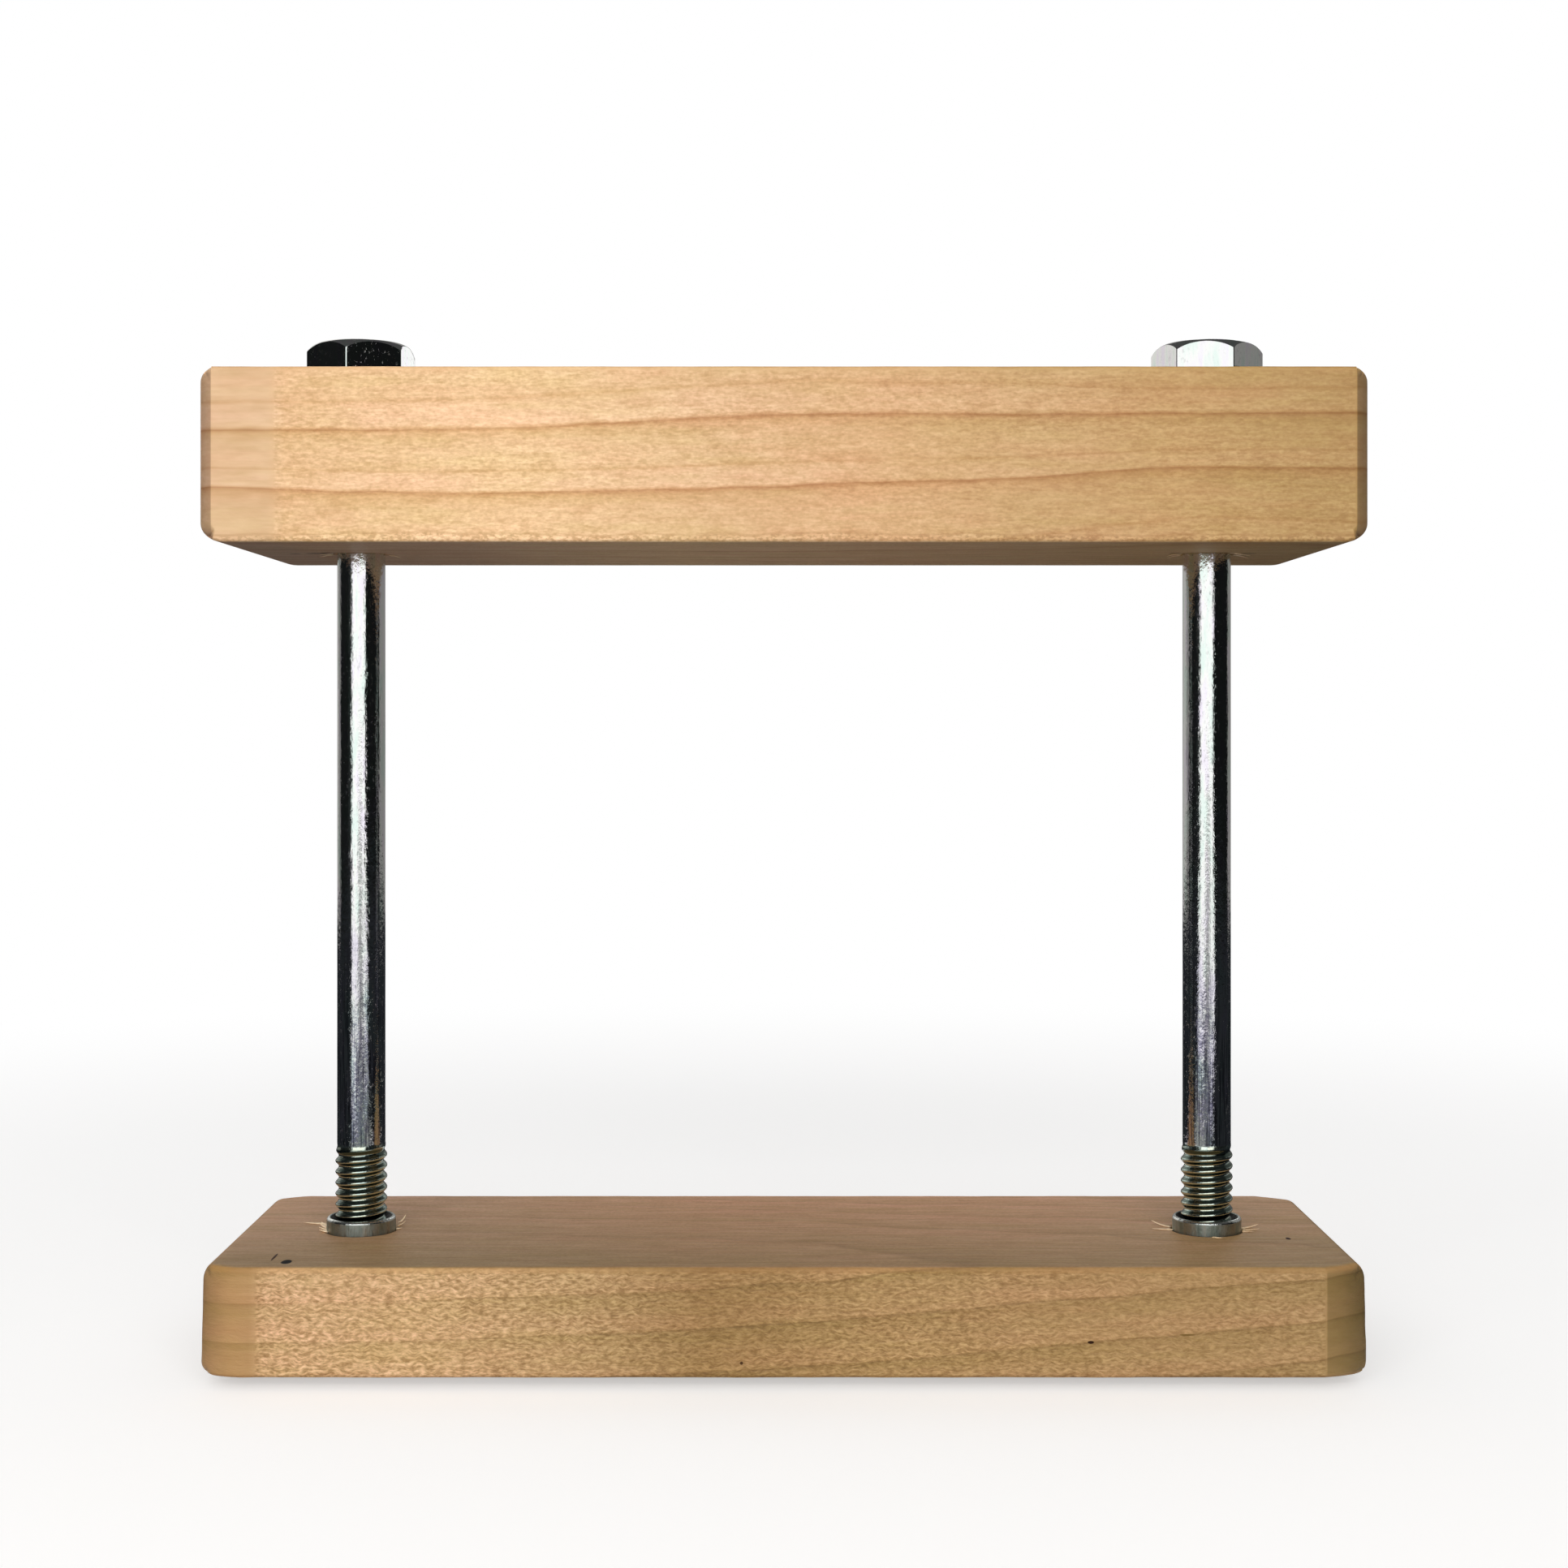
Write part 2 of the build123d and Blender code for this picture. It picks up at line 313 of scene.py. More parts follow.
def bolt_columns(turn):
    """Angles about a bolt's axis: close together at the head's six corners, for their rounding."""
    from_corner = np.array([0, .5, 1.0, 1.6, 2.4, 3.6, 5.5, 8.5, 12.5, 17.5, 23.5])
    sector = np.concatenate([from_corner, [30], 60 - from_corner[:0:-1]])
    corner = math.radians(turn - 90 + 30)
    angles = np.radians(np.concatenate([sector + 60 * side for side in range(6)] + [[360.0]]))
    return corner + angles


def hex_radius(angles, turn):
    """Radius of the hexagon: A / (sum of max(cos d, 0)^p)^(1/p), where A is half the width across
    flats and d the angle from each flat's middle. A high power leaves the corners just rounded."""
    flats = np.radians(turn - 90 + 60 * np.arange(6))[:, None]
    pull = np.maximum(np.cos(angles - flats), 0) ** HEX_POWER
    return ACROSS_FLATS / 2 / pull.sum(axis=0) ** (1 / HEX_POWER)


def crown(radii):
    """Height of a head's domed crown at a radius: it falls with the square of the way past the flat."""
    return HEAD_TOP - CROWN_DROP * (radii - CROWN_RADIUS) ** 2


def thread_height(share):
    """Height of a rolled thread at a share of its pitch, 0 at the root and 1 at the crest: one
    wave of a cosine, (1 - cos 360 share) / 2, so that crest and root are alike and rounded."""
    return (1 - np.cos(FULL_TURN * share)) / 2


def hex_bolt(side):
    """Patches of a bolt: its head, a body just out of true, and a right-handed thread, whose rows
    climb one pitch in a turn and are cut off level at both ends."""
    x = BOLT_PLACES[side]
    angles = bolt_columns(HEAD_TURNS[side])
    hexagon = hex_radius(angles, HEAD_TURNS[side])
    under = HEAD_SEAT + BEARING_HEIGHT
    flat_top = crown(hexagon) - .09
    rows = [(radius, HEAD_TOP) for radius in (0, 1.6, 3.2, CROWN_RADIUS)]
    rows += [(radius, crown(radius)) for radius in (4.75, 4.95, 5.15, CROWN_EDGE)]
    for share in (.3, .6, .88):
        radii = CROWN_EDGE + (hexagon - CROWN_EDGE) * share
        rows.append((radii, crown(radii)))
    rows += [(hexagon - .012, crown(hexagon) - .02), (hexagon, flat_top)]
    rows += [(hexagon, flat_top + (under + .12 - flat_top) * share) for share in (.2, .4, .6, .8, 1)]
    rows += [(hexagon - .03, under + .03), (hexagon - .12, under), (BEARING_RADIUS + .1, under)]
    rows += [(BEARING_RADIUS, under - .05), (BEARING_RADIUS, HEAD_SEAT + .05)]
    rows += [(BEARING_RADIUS - .05, HEAD_SEAT)]
    rows += [(SHANK_RADIUS + wider, HEAD_SEAT - drop) for wider, drop in ((.3, 0), (.14, .06), (.05, .15))]
    head = turned_rows(x, angles, rows)

    heights = np.linspace(HEAD_SEAT - .32, BODY_END, 110)[:, None]
    seed = 0.0 if side == "left" else 2.1
    fade = smooth_step((heights - BODY_END) / 4)
    uneven = (np.sin(heights / 4.3 + angles + seed) + .8 * np.sin(heights / 1.9 - 2 * angles + 2 * seed)
              + .5 * np.sin(heights / 0.9 + 3 * angles))
    body = turned(x, angles, SHANK_RADIUS - .004 * fade * (1 + uneven / 2.3), heights)
    body = np.concatenate([head[-1:], body])

    climb = (angles - angles[0]) / FULL_TURN * PITCH
    first = BOLT_END - PITCH
    steps = np.arange(int((BODY_END - first) / PITCH * ROWS_PER_TURN) + 2)[::-1, None]
    level = np.clip(first + steps * PITCH / ROWS_PER_TURN + climb, BOLT_END, BODY_END)
    share = ((level - climb) / PITCH + CREST_PHASE) % 1
    profile = ROOT_RADIUS + (CREST_RADIUS - ROOT_RADIUS) * thread_height(share)
    ease = smooth_step((BODY_END - level) / 1.9)
    profile = SHANK_RADIUS + (profile - SHANK_RADIUS) * ease
    tip = ROOT_RADIUS - .04 + (level - BOLT_END)
    thread = turned(x, angles, np.minimum(profile, tip), level)
    point = turned_rows(x, angles, [(radius, BOLT_END) for radius in (ROOT_RADIUS - .04, 1.2, 0)])
    return [cells(patch) for patch in (head, body, thread, point)]


def flat_washer(side):
    """Patches of a punched washer: one profile turned about the bolt, round-edged above where the
    punch went in and nearly sharp below."""
    top, bottom = WASHER_HIGH[2], WASHER_LOW[2] + .01
    profile = [(WASHER_BORE, bottom + .05), (WASHER_BORE, top - .2), (3.6, top - .07), (3.72, top),
               (5.6, top), (7.55, top), (7.75, top - .05), (7.89, top - .16), (WASHER_RADIUS, top - .32),
               (WASHER_RADIUS, bottom + .08), (7.9, bottom), (5.6, bottom), (3.6, bottom),
               (WASHER_BORE, bottom + .05)]
    radii, heights = np.array(profile).T[:, :, None]
    return [cells(turned(BOLT_PLACES[side], np.linspace(0, FULL_TURN, 97), radii, heights))]


# Tee nuts

def nut_columns():
    """Angles about a tee nut's axis, evenly spread across each notch and each stretch between, and
    the angle from a notch's middle to its corner."""
    corner = math.degrees(math.asin(NOTCH_HALF / NOTCH_CORNER))
    parts = []
    for prong in PRONG_ANGLES:
        parts.append(np.linspace(prong - corner, prong + corner, 15)[:-1])
        parts.append(np.linspace(prong + corner, prong + 90 - corner, 19)[:-1])
    angles = np.concatenate(parts + [[PRONG_ANGLES[0] - corner + 360]])
    return np.radians(angles), math.radians(corner)


def tee_nut(side):
    """Patches of a tee nut: a barrel with an inner thread, its flange with four notches, and the
    four prongs bent up out of them. The thread climbs with the bolt's, half a pitch out of step."""
    x = BOLT_PLACES[side]
    angles, corner = nut_columns()
    barrel = [(MOUTH_RADIUS, RIM_LEVEL)]
    for lean in np.radians([90, 68, 50, 36, 25, 16, 8, 0]):
        barrel.append((BARREL_RADIUS - RIM_ROUND * (1 - math.cos(lean)),
                       RIM_LEVEL - RIM_ROUND * (1 - math.sin(lean))))
    barrel += [(BARREL_RADIUS, height) for height in np.linspace(RIM_LEVEL - 1, FLANGE_THICKNESS + .5, 10)]
    barrel += [(BARREL_RADIUS + .12, FLANGE_THICKNESS + .22), (BARREL_RADIUS + .5, FLANGE_THICKNESS)]

    climb = (angles - angles[0]) / FULL_TURN * PITCH
    steps = np.arange(int(RIM_LEVEL / PITCH * ROWS_PER_TURN) + 2 + ROWS_PER_TURN)[:, None] - ROWS_PER_TURN
    level = np.clip(steps * PITCH / ROWS_PER_TURN + climb, 0, RIM_LEVEL)
    bolt_climb = (angles - bolt_columns(HEAD_TURNS[side])[0]) / FULL_TURN * PITCH
    share = ((level - bolt_climb) / PITCH + CREST_PHASE + .5) % 1
    ridge = NUT_ROOT_RADIUS - NUT_THREAD_DEPTH * thread_height(share)
    cut = np.interp(level, [0, .1, .3, .6, .9, 1.7, RIM_LEVEL - 1.3, RIM_LEVEL - .55, RIM_LEVEL],
                    [UNDER_RADIUS, 3.64, 3.38, 3.2, 3.1, 2.5, 2.5, 3.15, MOUTH_RADIUS])
    patches = [turned_rows(x, angles, barrel), turned(x, angles, np.maximum(ridge, cut), level)]

    prongs = np.radians(PRONG_ANGLES)
    off = np.abs(angles[:, None] - np.append(prongs, prongs[0] + FULL_TURN)).min(axis=1)
    inner_edge = np.where(off <= corner + 1e-9, PRONG_INNER / np.cos(np.minimum(off, corner)), NOTCH_CORNER)
    way_out = np.linspace(0, 1, 7)[:, None]
    for radius, height in ((BARREL_RADIUS + .5, FLANGE_THICKNESS), (UNDER_RADIUS, 0)):
        patches.append(turned(x, angles, radius + (inner_edge - radius) * way_out, height))
    rim = [(NOTCH_CORNER, 0), (8.0, 0), (9.0, 0), (9.33, 0), (9.47, .06), (FLANGE_RADIUS, .2)]
    rim += [(radius, FLANGE_THICKNESS - height) for radius, height in rim[::-1]]
    radii, heights = np.array(rim).T[:, :, None]
    spread = np.arcsin(NOTCH_HALF / radii)
    for prong in prongs:
        notch = angles[np.abs(angles - prong) <= corner + 1e-9]
        patches.append(turned(x, notch, PRONG_INNER / np.cos(notch - prong), [[0], [FLANGE_THICKNESS]]))
        sector = prong + spread + (math.radians(90) - 2 * spread) * np.linspace(0, 1, 19)
        flange = turned(x, sector, radii, heights)
        patches.append(flange)
        for end in (flange[:, 0], flange[:, -1]):
            patches.append(np.stack([end[:6], end[:5:-1]]))
        patches.append(prong_shell(x, prong))
    return [cells(patch) for patch in patches]


def prong_shell(x, direction):
    """A prong: a rounded rectangle, |cos|^0.3 by |sin|^0.3, carried out along the flange, round a
    quarter circle and up, straight for its shoulders and then tapering to its tip."""
    bend = np.linspace(0, math.pi / 2, 9)
    half = FLANGE_THICKNESS / 2
    arc = np.stack([PRONG_INNER + half * np.sin(bend), FLANGE_THICKNESS - half * np.cos(bend)], axis=-1)
    rise = np.array([FLANGE_THICKNESS + .5, 3.5, 4.6, 5.7, 6.8, PRONG_TIP - .08, PRONG_TIP])
    upright = np.stack([np.full_like(rise, PRONG_INNER + half), rise], axis=-1)
    line = np.concatenate([[[PRONG_INNER - .4, half]], arc, upright])
    lean = np.concatenate([[0], bend, np.full_like(rise, math.pi / 2)])
    width = np.interp(line[:, 1], [3.5, PRONG_TIP - .08, PRONG_TIP],
                      [PRONG_WIDTH, PRONG_TIP_WIDTH + .1, PRONG_TIP_WIDTH - .2])
    thick = np.interp(line[:, 1], [6.0, PRONG_TIP - .08, PRONG_TIP],
                      [FLANGE_THICKNESS, FLANGE_THICKNESS - .1, FLANGE_THICKNESS - .4])
    turn = np.linspace(0, FULL_TURN, 25)
    square = [np.sign(wave) * np.abs(wave) ** .3 for wave in np.round([np.cos(turn), np.sin(turn)], 9)]
    across = square[0] * width[:, None] / 2
    out = line[:, :1] + square[1] * (thick * np.sin(lean))[:, None] / 2
    up = line[:, 1:] - square[1] * (thick * np.cos(lean))[:, None] / 2
    shell = np.stack([
        x + out * math.cos(direction) - across * math.sin(direction),
        out * math.sin(direction) + across * math.cos(direction),
        up,
    ], axis=-1)
    ends = [np.broadcast_to(end.mean(axis=1, keepdims=True), end.shape) for end in (shell[:1], shell[-1:])]
    return np.concatenate([ends[0], shell, ends[1]])


# Torn fibres

def fibre(level, x, y, end_x, end_y, end_rise, width, lift):
    """A torn fibre on a face at a level: a six-sided spindle from its root to its end that is
    widest near its root and lifts off the wood by lift times the square of the way along."""
    start = np.array([x, y, level])
    reach = np.array([end_x, end_y, level + end_rise]) - start
    along = np.linspace(0, 1, 9)[:, None]
    line = start + reach * along + np.array([0, 0, lift]) * along ** 2
    sideways = np.cross(reach, [0, 0, 1])
    sideways = sideways / np.linalg.norm(sideways)
    half = width / 2 * np.sqrt(np.clip((along + .08) / .3, 0, 1)) * np.clip(1 - along, 0, 1) ** .6
    half[0] = 0
    turn = np.linspace(0, FULL_TURN, 7)[:, None]
    ring = np.cos(turn) * sideways + np.sin(turn) * np.array([0, 0, .45])
    return cells(line[:, None] + half[:, None] * ring)


# Root, end, the end's rise, width and lift of each fibre
LOWER_TEARS = [
    (-53.4, 2.6, -56.6, 2.9, .05, .62, .1), (-53.2, 1.6, -54.3, 2.0, .1, .8, .3),
    (-53.1, .6, -54.1, .5, .1, 1.1, .35), (-53.0, -.4, -54.0, -.9, .1, 1.0, .35),
    (-52.8, -1.4, -53.7, -2.1, .1, .8, .3), (-45.3, 1.6, -44.3, 1.9, .1, .5, .5),
    (-45.5, 3.4, -44.7, 4.4, 0, .45, .8), (-45.2, .2, -44.4, -.1, 0, .45, .2),
    (45.3, 1.0, 43.0, 2.2, 0, .5, .6), (45.4, -.2, 42.7, -.6, 0, .55, .2),
    (53.1, .3, 55.4, .7, 0, .5, .45), (53.1, -.7, 55.2, -.9, 0, .5, .25),
    (53.0, -1.3, 54.4, -2.0, 0, .4, .2), (49.0, -4.2, 50.2, -5.2, 0, .45, .12)]
UPPER_TEARS = [
    (-52.4, .4, -54.3, .8, 0, .4, -.3), (-52.2, -1.2, -53.8, -1.9, 0, .35, -.2),
    (-46.3, 1.4, -44.8, 2.0, 0, .35, -.3), (46.2, -.8, 44.2, -1.5, 0, .4, -.35),
    (46.4, 1.2, 44.9, 1.9, 0, .35, -.3), (52.3, .6, 54.4, 1.3, 0, .4, -.4),
    (52.2, -.9, 54.0, -1.9, 0, .4, -.3), (51.4, -2.3, 52.9, -3.8, 0, .35, -.25)]


# Finishes

# Grain's lines and tones are given from -SPAN to SPAN along a jaw, down to DEEPEST below its top
SPAN = 64.0
DEEPEST = 24.0


def tone(red, green, blue):
    """A colour as a screen shows it, 0 to 255, as the value that a shader takes."""
    shown = np.array([red, green, blue]) / 255
    linear = np.where(shown <= .04045, shown / 12.92, ((shown + .055) / 1.055) ** 2.4)
    return (*linear.tolist(), 1.0)


def tint(red, green, blue):
    """A colour to multiply by, 1 leaving the other as it is."""
    return (red, green, blue, 1.0)


class NodeTree:
    """The nodes of a material or a world: each call adds a node and gives one of its outputs."""

    def __init__(self, owner):
        owner.use_nodes = True
        self.nodes = owner.node_tree.nodes
        self.links = owner.node_tree.links
        self.output = next(node for node in self.nodes if node.type.startswith("OUTPUT"))
        self.shader = self.output.inputs[0].links[0].from_node

    def show(self, surface):
        """Puts a surface or background in place of the one that the tree came with."""
        self.nodes.remove(self.shader)
        self.links.new(surface, self.output.inputs[0])

    def feed(self, socket, value):
        """Links an output to a socket, or sets the socket's own value."""
        if isinstance(value, bpy.types.NodeSocket):
            self.links.new(value, socket)
        else:
            socket.default_value = value

    def add(self, kind, inputs, output=0, **settings):
        """Adds a node with its settings, its inputs given by name or number."""
        node = self.nodes.new("ShaderNode" + kind)
        for setting, value in settings.items():
            setattr(node, setting, value)
        for socket, value in inputs.items():
            self.feed(node.inputs[socket], value)
        return node.outputs[output]

    def calc(self, operation, a, b=0.0, c=0.0):
        """One step of arithmetic."""
        return self.add("Math", {0: a, 1: b, 2: c}, operation=operation)

    def times(self, first, *others):
        """The product of all the values."""
        for value in others:
            first = self.calc("MULTIPLY", first, value)
        return first

    def times_plus(self, a, b, c):
        """a times b plus c."""
        return self.calc("MULTIPLY_ADD", a, b, c)

    def smooth(self, value, low, high, to_low=0.0, to_high=1.0, kind="SMOOTHSTEP"):
        """A value from low to high carried over to another range with soft ends, and held there."""
        inputs = {0: value, 1: low, 2: high, 3: to_low, 4: to_high}
        return self.add("MapRange", inputs, interpolation_type=kind)

    def scaled(self, value, low, high, to_low=0.0, to_high=1.0):
        """A value from low to high carried over evenly to another range, and held at its ends."""
        return self.smooth(value, low, high, to_low, to_high, "LINEAR")

    def parts(self, vector):
        """The three parts of a vector."""
        node = self.nodes.new("ShaderNodeSeparateXYZ")
        self.feed(node.inputs[0], vector)
        return node.outputs

    def length(self, vector):
        """The length of a vector."""
        return self.add("VectorMath", {0: vector}, output=1, operation="LENGTH")

    def stretch(self, vector, x, y, z):
        """A vector with each of its parts multiplied."""
        return self.add("VectorMath", {0: vector, 1: (x, y, z)}, operation="MULTIPLY")

    def ramp(self, value, stops, kind="LINEAR"):
        """Colours along a value from 0 to 1."""
        node = self.nodes.new("ShaderNodeValToRGB")
        node.color_ramp.interpolation = kind
        elements = node.color_ramp.elements
        while len(elements) < len(stops):
            elements.new(.5)
        for element, (position, colour) in zip(elements, stops):
            element.position = position
        for element, (position, colour) in zip(elements, stops):
            element.color = colour
        self.feed(node.inputs[0], value)
        return node.outputs[0]

    def mix(self, share, a, b, blend="MIX"):
        """Colour b over colour a by a share."""
        return self.add("Mix", {0: share, 6: a, 7: b}, output=2, data_type="RGBA", blend_type=blend)

    def tinted(self, share, colour, by):
        """A colour multiplied by another, by a share."""
        return self.mix(share, colour, self.mix(1.0, colour, by, "MULTIPLY"))

    def seen_directly(self):
        """1 for rays from the camera, and for those that metal or glass sends on."""
        path = self.nodes.new("ShaderNodeLightPath").outputs
        either = self.calc("MAXIMUM", path["Is Camera Ray"], path["Is Glossy Ray"])
        return self.calc("MAXIMUM", either, path["Is Transmission Ray"])


class Finish(NodeTree):
    """A material of the clamp, worked out from the place on it in millimetres."""

    def __init__(self, name):
        self.material = bpy.data.materials.new(name)
        super().__init__(self.material)
        self.place = self.stretch(self.add("TexCoord", {}, output="Object"), METRE, METRE, METRE)

    def noise(self, lengths, detail=2.0, roughness=.5, vector=None):
        """Soft noise with waves of the given lengths along X, Y and Z, in millimetres."""
        place = self.stretch(vector or self.place, *[1 / length for length in lengths])
        inputs = {"Vector": place, "Scale": 1.0, "Detail": detail, "Roughness": roughness}
        return self.add("TexNoise", inputs)

    def trace(self, x, points):
        """A depth that follows a line of points along a jaw."""
        stops = [((at + SPAN) / (2 * SPAN), (depth / DEEPEST,) * 3 + (1.0,)) for at, depth in points]
        return self.times(self.ramp(self.scaled(x, -SPAN, SPAN), stops, "CARDINAL"), DEEPEST)

    def along_jaw(self, x, stops, kind):
        """Tones or tints given at places along a jaw."""
        stops = [((at + SPAN) / (2 * SPAN), kind(*colour)) for at, colour in stops]
        return self.ramp(self.scaled(x, -SPAN, SPAN), stops)

    def relief(self, height, distance, strength=1.0):
        """Bump from a height, whose full range is a distance in millimetres."""
        normal = self.add("Bump", {"Strength": strength, "Distance": distance / METRE, "Height": height})
        self.links.new(normal, self.shader.inputs["Normal"])


def maple(name, box, along, lines, rings, plain_end, end_grain_and_shade, ring_strength=(1.0, 1.0), beyond=1.0,
          fleck_size=0.0, fleck_fade=(1.0, 1.0), colouring=(1.5, 2.2), face_along=(), under_painted_shade=(),
          worn_shaded_edge=0.0, marks=()):
    """Oiled maple cut from the solid: growth rings that cross the front face as the two given
    lines and bend away behind it with the square of the way in, a fibre fleck drawn out along the
    board, slow mottling, darker end grain at the corners with painted shade on the corner facets
    that turn from the light, darkest at the right end, and smoother wood at one end. Along the
    board it has one line of tones, with others for its upper face, darkened towards its front edge
    by painted shade, and tints of painted light and shade for its underside, darkest at the left.
    A worn and shaded edge is a darker line that high above the bottom, partly wear and partly
    painted shade along the bottom edge, with torn wood below it whose light speckles are partly
    painted highlights, and marks are knots and specks with their place, size and tone."""
    f = Finish(name)
    low, high = (corner.tolist() for corner in box)
    x, y, z = f.parts(f.place)
    depth = f.calc("SUBTRACT", high[2], z)
    inward = f.calc("ADD", y, high[1])
    on_top = f.smooth(depth, .16, .03)
    beneath = f.smooth(z, low[2] + .16, low[2] + .03)
    level = f.calc("MAXIMUM", on_top, beneath)
    slow = f.noise((26, 7, 7))
    fine = f.noise((7, 2.2, 2.2))
    fine_swing = f.calc("SUBTRACT", fine, .5)

    first, second = (f.trace(x, line) for line in lines)
    ring = f.calc("DIVIDE", f.calc("SUBTRACT", depth, first), f.calc("SUBTRACT", second, first))
    past_second = f.calc("MAXIMUM", f.calc("SUBTRACT", ring, 1.0), 0.0)
    outside = f.calc("ADD", f.calc("MINIMUM", ring, 0.0), past_second)
    ring = f.times_plus(outside, beyond - 1, ring)
    ring = f.times_plus(f.times(inward, inward), .0028, ring)
    ring = f.times_plus(f.times(inward, f.calc("SUBTRACT", slow, .5)), .03, ring)
    ring = f.times_plus(fine_swing, .06, ring)

    wood = f.along_jaw(x, along, tone)
    if face_along:
        face = f.along_jaw(x, face_along, tone)
        # Painted shade on the upper face: darker and yellower towards its front edge, lighter at the back.
        painted_shade_to_front = f.ramp(f.scaled(inward, 2, 36), [(0, tint(.69, .72, .57)), (1, tint(1.10, 1.04, 1.0))])
        wood = f.mix(on_top, wood, f.mix(1.0, face, painted_shade_to_front, "MULTIPLY"))
    # Painted light and shade on the underside: darker at the left end, lighter and bluer from the middle to
    # the right.
    if under_painted_shade:
        wood = f.tinted(beneath, wood, f.along_jaw(x, under_painted_shade, tint))
    mottle = f.noise((14, 3, 2.2), detail=3, roughness=.6)
    casts = f.ramp(mottle, [(.32, tint(.96, .98, .90)), (.5, tint(1, 1, 1)), (.68, tint(1.03, .99, 1.02))])
    wood = f.mix(1.0, wood, casts, "MULTIPLY")
    strength = f.times(f.scaled(x, -60, 5, *ring_strength), f.scaled(level, 0, 1, 1, .6))
    ring_tint = f.ramp(f.calc("FRACT", ring), [(at, tint(*colour)) for at, colour in rings])
    wood = f.tinted(strength, wood, ring_tint)

    drift = f.noise((9, 4, 4), detail=1)
    bend = f.calc("SINE", f.times_plus(x, 2.0, f.times(drift, 26.0)))
    wave = f.add("CombineXYZ", {0: x, 1: y, 2: f.times_plus(bend, .13 * fleck_size, z)})
    dashes = f.noise((1.3 - .4 * fleck_size, .5, .34 - .05 * fleck_size), roughness=.6, vector=wave)
    clouds = f.noise((3.2, 1.1, 1.0))
    threads = f.noise((9, .7, .4), detail=3, roughness=.6)
    grit = f.noise((.42, .35, .26), detail=1)
    grain_from = end_grain_and_shade[1][0]
    figure = f.times(
        f.smooth(x, plain_end - .25, plain_end + .25),
        f.smooth(x, grain_from + .05, grain_from - .3),
        f.scaled(slow, .25, .7, .75, 1.2),
        f.scaled(x, -60, 40, *fleck_fade),
        f.scaled(level, 0, 1, 1, .3),
        f.smooth(depth, .3, .75, .4, 1.0))
    fleck = f.scaled(dashes, .38, .64, -1, 1)
    streak = f.scaled(threads, .32, .68, -1, 1)
    grain = f.scaled(grit, .3, .7, -1, 1)
    cloud = f.scaled(clouds, .32, .68, -1, 1)
    lift = f.times_plus(fleck, .07 + .13 * fleck_size, f.times(grain, .07 + .03 * fleck_size))
    lift = f.times_plus(f.times(grain, level), .06, f.times(lift, figure))
    shade = f.times_plus(cloud, .05, f.calc("ADD", lift, 1.0))
    shade = f.times_plus(streak, f.times_plus(level, .055, .025), shade)
    brow = f.times(f.smooth(depth, .8, .5, 0, fleck_size), f.smooth(level, 1, .3))
    wood = f.tinted(brow, wood, tint(.98, .93, .84))
    shades = f.add("CombineColor", {0: shade, 1: f.calc("POWER", shade, colouring[0]),
                                    2: f.calc("POWER", shade, colouring[1])})
    wood = f.mix(1.0, wood, shades, "MULTIPLY")

    off_edges = f.times(f.smooth(depth, .2, .9), f.smooth(z, low[2] + .1, low[2] + .6))
    # Darker end grain at the corners, with painted shade on the corner facets that turn from the light,
    # darkest at the right end.
    for begins, full, grain_and_shade_tint in end_grain_and_shade:
        wood = f.tinted(f.times(f.smooth(x, begins, full), off_edges), wood, tint(*grain_and_shade_tint))

    # A darker line along the bottom edge, partly wear and partly painted shade, and torn wood below it whose
    # light speckles are partly painted highlights.
    if worn_shaded_edge:
        up = f.times_plus(fine_swing, -1.4, f.calc("SUBTRACT", z, low[2]))
        line = f.times(f.smooth(up, worn_shaded_edge - .25, worn_shaded_edge), f.smooth(up, worn_shaded_edge + .25, worn_shaded_edge))
        wood = f.tinted(f.times(line, .8), wood, tint(.86, .79, .72))
        torn = f.ramp(f.scaled(grain, -1, 1), [
            (.3, tint(.87, .83, .79)), (.5, tint(1, .99, .98)), (.7, tint(1.04, 1.06, 1.09))])
        below = f.times(f.smooth(up, worn_shaded_edge, worn_shaded_edge - .25), f.smooth(level, 1, .5))
        wood = f.tinted(below, wood, torn)
    dull = 0.0
    for place, size, colour in marks:
        from_mark = f.add("VectorMath", {0: f.place, 1: place}, operation="SUBTRACT")
        away = f.length(f.stretch(from_mark, *[1 / part for part in size]))
        spot = f.smooth(f.times_plus(fine, .5, away), 1.3, 1.0)
        wood = f.mix(spot, wood, tone(*colour))
        dull = f.calc("MAXIMUM", spot, dull)

    f.feed(f.shader.inputs["Base Color"], wood)
    f.feed(f.shader.inputs["Roughness"], f.scaled(streak, -1, 1, .64, .52))
    if marks:
        f.feed(f.shader.inputs["Specular IOR Level"], f.times_plus(dull, -.42, .5))
    f.relief(f.times_plus(fleck, .7, streak), .012 + .012 * fleck_size, .6)
    return f.material


UPPER_RINGS = [
    (0.0, (.70, .53, .38)), (.02, (.79, .65, .50)), (.06, (.91, .84, .74)), (.2, (.97, .96, .92)),
    (.5, (1.0, 1.0, .98)), (.63, (.98, .96, .93)), (.665, (.90, .82, .73)), (.70, (1.01, .99, 1.0)),
    (.84, (1.04, 1.03, 1.08)), (.95, (1.05, 1.05, 1.10)), (.98, (.93, .85, .78)), (1.0, (.70, .53, .38))]
LOWER_RINGS = [
    (0.0, (.60, .55, .40)), (.02, (.72, .69, .55)), (.07, (.82, .82, .68)), (.22, (.90, .90, .80)),
    (.5, (.98, .98, .94)), (.7, (1.02, 1.0, 1.0)), (.86, (1.06, 1.03, 1.06)), (.96, (1.07, 1.04, 1.06)),
    (.985, (.86, .80, .70)), (1.0, (.60, .55, .40))]
